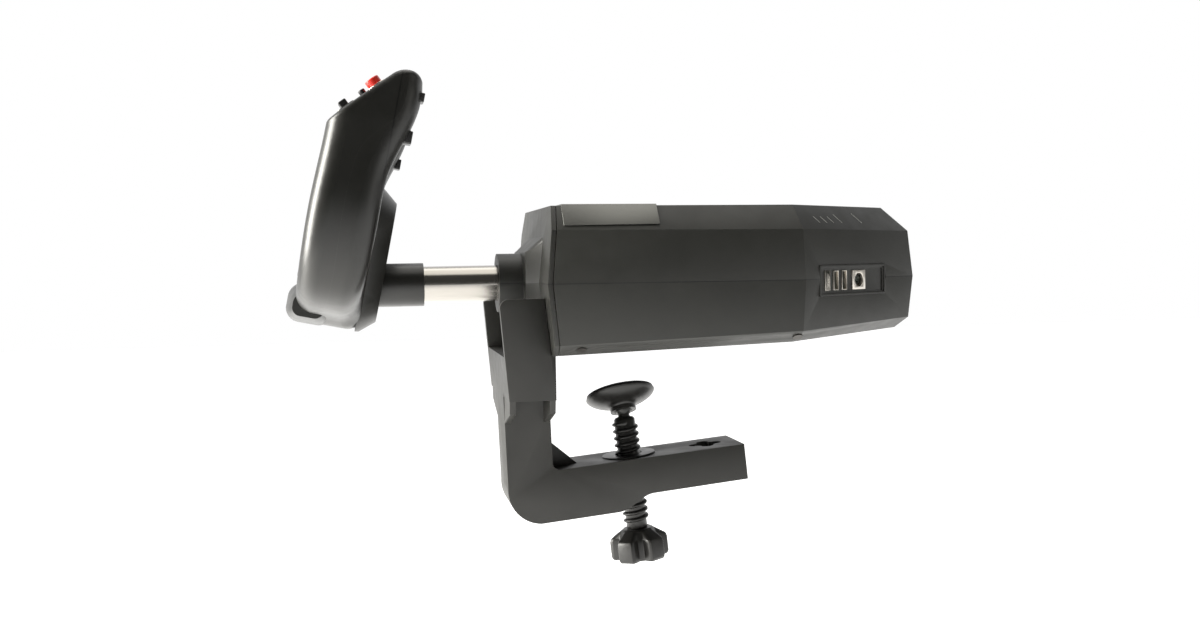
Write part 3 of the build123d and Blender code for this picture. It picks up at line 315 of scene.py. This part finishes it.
def refine(node, radius, segments=3, angle=25.0):
    """A visible copy of a CAD node with moulded-in edge radii, standing for the node."""
    piece = add_piece(node + "_skin", clean_shape(node), node, look_of[node])
    bevel(piece, radius, segments, angle)
    smooth(piece, 40.0)
    return piece


def add_lathe(shape, profile, place, steps=48):
    """Add a closed turned form: (radius, height) points from the axis to the axis, about the plane's Z."""
    rings = []
    for radius, height in profile:
        if radius == 0:
            rings.append([shape.verts.new(place @ Vector((0.0, 0.0, height * MM)))])
            continue
        ring = []
        for step in range(steps):
            turn = 2 * math.pi * step / steps
            ring.append(shape.verts.new(place @ Vector(
                (radius * math.cos(turn) * MM, radius * math.sin(turn) * MM, height * MM)
            )))
        rings.append(ring)
    for low, high in zip(rings, rings[1:]):
        for step in range(steps):
            following = (step + 1) % steps
            corners = []
            for ring, spot in ((low, step), (low, following), (high, following), (high, step)):
                corner = ring[spot] if len(ring) > 1 else ring[0]
                if corner not in corners:
                    corners.append(corner)
            shape.faces.new(corners)


def plane_at(origin, z_axis, x_hint):
    """4x4 matrix of a plane with its Z along z_axis and its X near x_hint."""
    z = Vector(z_axis).normalized()
    x = (Vector(x_hint) - z * Vector(x_hint).dot(z)).normalized()
    return Matrix.Translation(origin) @ Matrix((x, z.cross(x), z)).transposed().to_4x4()


# ---------------------------------------------------------------- clamp screw, knob and pad
screw_axis = Vector(joints["pad_travel"]["axis"]).normalized()
screw_start = Vector(joints["screw_spin"]["pos_m"])
screw_side = Vector((1.0, 0.0, 0.0)) - screw_axis * screw_axis.x


def screw_plane(along):
    """Plane across the clamp screw, in millimetres above the arm's top."""
    return plane_at(screw_start + screw_axis * along * MM, screw_axis, screw_side)


def build_clamp_screw(root=7.5, crest=9.25, pitch=5.0, low=-53.0, high=27.5):
    """Coarse moulded thread wound round the screw's core, with a plain neck to the ball."""
    shape = bmesh.new()
    core = [(0, low), (root - 0.4, low), (root - 0.05, low + 0.6)]
    core += [(root - 0.05, high - 1.2), (root - 1.2, high)]
    core += [(4.8, high + 0.4), (4.0, high + 1.2), (4.0, 33.8), (0, 33.8)]
    add_lathe(shape, core, screw_plane(0), 64)
    place = screw_plane(0)
    steps = 48
    profile = [(-1.75, root - 0.3), (-0.75, crest - 0.25), (-0.4, crest), (0.4, crest), (0.75, crest - 0.25)]
    profile += [(1.75, root - 0.3)]
    first, last = low + 3.5, high - 3.0
    count = int((last - first) / pitch * steps)
    rings = []
    for step in range(count + 1):
        turn = 2 * math.pi * step / steps
        middle = first + pitch * step / steps
        fade = min(1.0, step / 14.0, (count - step) / 14.0)
        ring = []
        for rise, reach in profile:
            reach = root - 0.3 + (reach - root + 0.3) * fade
            ring.append(shape.verts.new(place @ Vector(
                (reach * math.cos(turn) * MM, reach * math.sin(turn) * MM, (middle + rise) * MM)
            )))
        rings.append(ring)
    for before, after in zip(rings, rings[1:]):
        for index in range(len(profile) - 1):
            shape.faces.new((before[index], after[index], after[index + 1], before[index + 1]))
    piece = add_piece("clamp_screw_thread", shape, "clamp_screw", "screw_plastic")
    smooth(piece, 45.0)


def build_clamp_knob(lobes=5):
    """Star knob: flat-ended lobes under a shallow cone that runs up to the screw."""
    top = -53.0
    low = top - 22.0
    shape = bmesh.new()
    outline = []
    for lobe in range(lobes):
        middle = 2 * math.pi * (lobe + 0.16) / lobes
        for angle, reach in (
            (-0.50, 14.6), (-0.36, 19.3), (-0.27, 21.0), (0.27, 21.0), (0.36, 19.3), (0.50, 14.6)
        ):
            outline.append((reach * math.cos(middle + angle), reach * math.sin(middle + angle)))
    levels = (
        (low, 0.94), (low + 2.0, 1.0), (top - 9.0, 1.0), (top - 6.5, 0.96), (top - 1.2, 0.58), (top, 0.5)
    )
    place = screw_plane(0)
    rings = []
    for level, share in levels:
        ring = []
        for x, y in outline:
            reach = math.hypot(x, y)
            limit = 21.2 if share > 0.9 else 19.0 * share + 1.0
            factor = min(1.0, limit / reach) * (share if share > 0.9 else 1.0)
            ring.append(shape.verts.new(place @ Vector((x * factor * MM, y * factor * MM, level * MM))))
        rings.append(ring)
    for under, over in zip(rings, rings[1:]):
        for index in range(len(outline)):
            following = (index + 1) % len(outline)
            shape.faces.new((under[index], under[following], over[following], over[index]))
    shape.faces.new(list(reversed(rings[0])))
    shape.faces.new(rings[-1])
    bmesh.ops.recalc_face_normals(shape, faces=shape.faces)
    piece = add_piece("star_knob", shape, "clamp_knob", "screw_plastic")
    bevel(piece, 0.7, 3, 20.0)
    smooth(piece, 35.0)


build_clamp_screw()
build_clamp_knob()


# ---------------------------------------------------------------- CAD nodes kept or refined
for node in ("upper_housing", "lower_housing", "front_cover_upper", "front_cover_lower", "clamp_body"):
    refine(node, 0.8 if node == "clamp_body" else 0.5)
for node in ("port_panel", "top_plate", "display_bezel", "hub_rear_cover", "usb_shells", "mini_din_shell"):
    refine(node, 0.25 if node != "hub_rear_cover" else 1.6)
for node in (
    "shaft_collar", "clamp_insert", "toggle_frames", "button_bezel", "hat_base", "pov_hat", "cable_gland"
):
    refine(node, 0.3, 3, 40.0)
for node in ("timer_button_1", "timer_button_2", "timer_button_3", "small_button", "red_button"):
    refine(node, 0.5, 3, 40.0)
for node in (
    "trigger_right", "trigger_left", "rear_button_right", "rear_button_left", "toggle_right", "toggle_left"
):
    refine(node, 0.7, 4, 30.0)

for node, piece in nodes.items():
    paint(piece, look_of[node])
    smooth(piece, 30.0)


# ---------------------------------------------------------------- printed ticks
def on_near_side(surface, x, z):
    """Point of a surface's near side at a place along and above, in millimetres, and its normal."""
    hit = surface.ray_cast(Vector((x, -300.0, z)) * MM, Vector((0.0, 1.0, 0.0)))
    return hit[0], hit[1]


def build_ticks(first=172.0, spacing=6.2, low=85.2, width=0.5, height=0.12):
    """Five slanting strokes on the rear angled side: four together, the last one apart."""
    housing = nodes["upper_housing"].data
    surface = BVHTree.FromPolygons(
        [vertex.co for vertex in housing.vertices], [tuple(face.vertices) for face in housing.polygons]
    )
    shape = bmesh.new()
    for place, rise in ((0, 4.2), (1, 4.2), (2, 4.2), (3, 5.6), (5.8, 6.6)):
        x = first + spacing * place
        top = on_near_side(surface, x, low + rise)[0]
        bottom, outward = on_near_side(surface, x + rise * 1.05, low)
        across = (bottom - top).cross(outward).normalized() * width * MM / 2
        lift = outward * height * MM
        corners = (top - across, top + across, bottom + across, bottom - across)
        under = [shape.verts.new(corner - lift) for corner in corners]
        over = [shape.verts.new(corner + lift) for corner in corners]
        shape.faces.new(under)
        shape.faces.new(over)
        for index in range(4):
            following = (index + 1) % 4
            shape.faces.new((under[index], under[following], over[following], over[index]))
    bmesh.ops.recalc_face_normals(shape, faces=shape.faces)
    add_piece("side_ticks", shape, "upper_housing", "marking", stands_for=False)


build_ticks()


# ---------------------------------------------------------------- floor, light and camera
def build_floor():
    """Plain pale floor under the knob."""
    size = 6.0
    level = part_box("clamp_knob")[0].z - 0.2
    mesh = bpy.data.meshes.new("floor")
    corners = [(-size, -size, level), (size, -size, level), (size, size, level), (-size, size, level)]
    mesh.from_pydata(corners, [], [(0, 1, 2, 3)])
    floor = bpy.data.objects.new("floor", mesh)
    bpy.context.scene.collection.objects.link(floor)
    material, tree, shader, where = new_material("pale_floor")
    pale = ramp(tree, noise(tree, where, 3.0), (0.93, 0.93, 0.93), (0.97, 0.97, 0.97))
    tree.links.new(pale, shader.inputs["Base Color"])
    shader.inputs["Roughness"].default_value = 0.9
    shader.inputs["Emission Color"].default_value = (1.0, 1.0, 1.0, 1.0)
    shader.inputs["Emission Strength"].default_value = 0.78
    mesh.materials.append(material)


def softbox(name, place, target, width, height, power):
    light = bpy.data.lights.new(name, "AREA")
    light.shape = "RECTANGLE"
    light.size, light.size_y = width, height
    light.energy = power
    light.color = (1.0, 0.98, 0.92)
    lamp = bpy.data.objects.new(name, light)
    lamp.location = place
    lamp.rotation_euler = (Vector(target) - Vector(place)).to_track_quat("-Z", "Y").to_euler()
    bpy.context.scene.collection.objects.link(lamp)


def build_lights():
    """White backdrop behind, a dimmer room in front, a large soft light from the left and one above."""
    world = bpy.data.worlds.new("studio")
    bpy.context.scene.world = world
    world.use_nodes = True
    tree = world.node_tree
    direction = tree.nodes.new("ShaderNodeTexCoord")
    parts = tree.nodes.new("ShaderNodeSeparateXYZ")
    tree.links.new(direction.outputs["Generated"], parts.inputs["Vector"])
    backdrop = ramp(tree, parts.outputs["Y"], (0.07, 0.07, 0.066), (1.0, 1.0, 1.0), 0.08, 0.40)
    tree.links.new(backdrop, tree.nodes["Background"].inputs["Color"])
    tree.nodes["Background"].inputs["Strength"].default_value = 1.0
    middle = (0.0, 0.0, 0.03)
    softbox("left_softbox", (-1.45, 0.0, 0.38), middle, 0.6, 1.2, 72.0)
    softbox("top_softbox", (0.2, 0.1, 1.6), middle, 1.6, 1.2, 11.0)
    softbox("right_softbox", (1.5, -0.9, 0.5), middle, 0.8, 1.2, 2.5)


def build_camera():
    """Camera level with the shaft, on the near side, turned ten degrees to the right."""
    camera = bpy.data.cameras.new("camera")
    camera.sensor_width = 36.0
    camera.lens = 39.9
    camera.clip_start, camera.clip_end = 0.01, 50.0
    eye = bpy.data.objects.new("camera", camera)
    yaw, pitch, roll = math.radians(10.2), math.radians(2.5), math.radians(1.0)
    forward = Vector((math.sin(yaw) * math.cos(pitch), math.cos(yaw) * math.cos(pitch), -math.sin(pitch)))
    level_right = forward.cross(Vector((0, 0, 1))).normalized()
    level_up = level_right.cross(forward)
    up = level_up * math.cos(roll) + level_right * math.sin(roll)
    turn = Matrix((forward.cross(up), up, -forward)).transposed()
    eye.matrix_world = Matrix.Translation((-0.1244, -0.9352, 0.0651)) @ turn.to_4x4()
    bpy.context.scene.collection.objects.link(eye)
    bpy.context.scene.camera = eye


bpy.context.scene.view_settings.view_transform = "Standard"
build_floor()
build_lights()
build_camera()
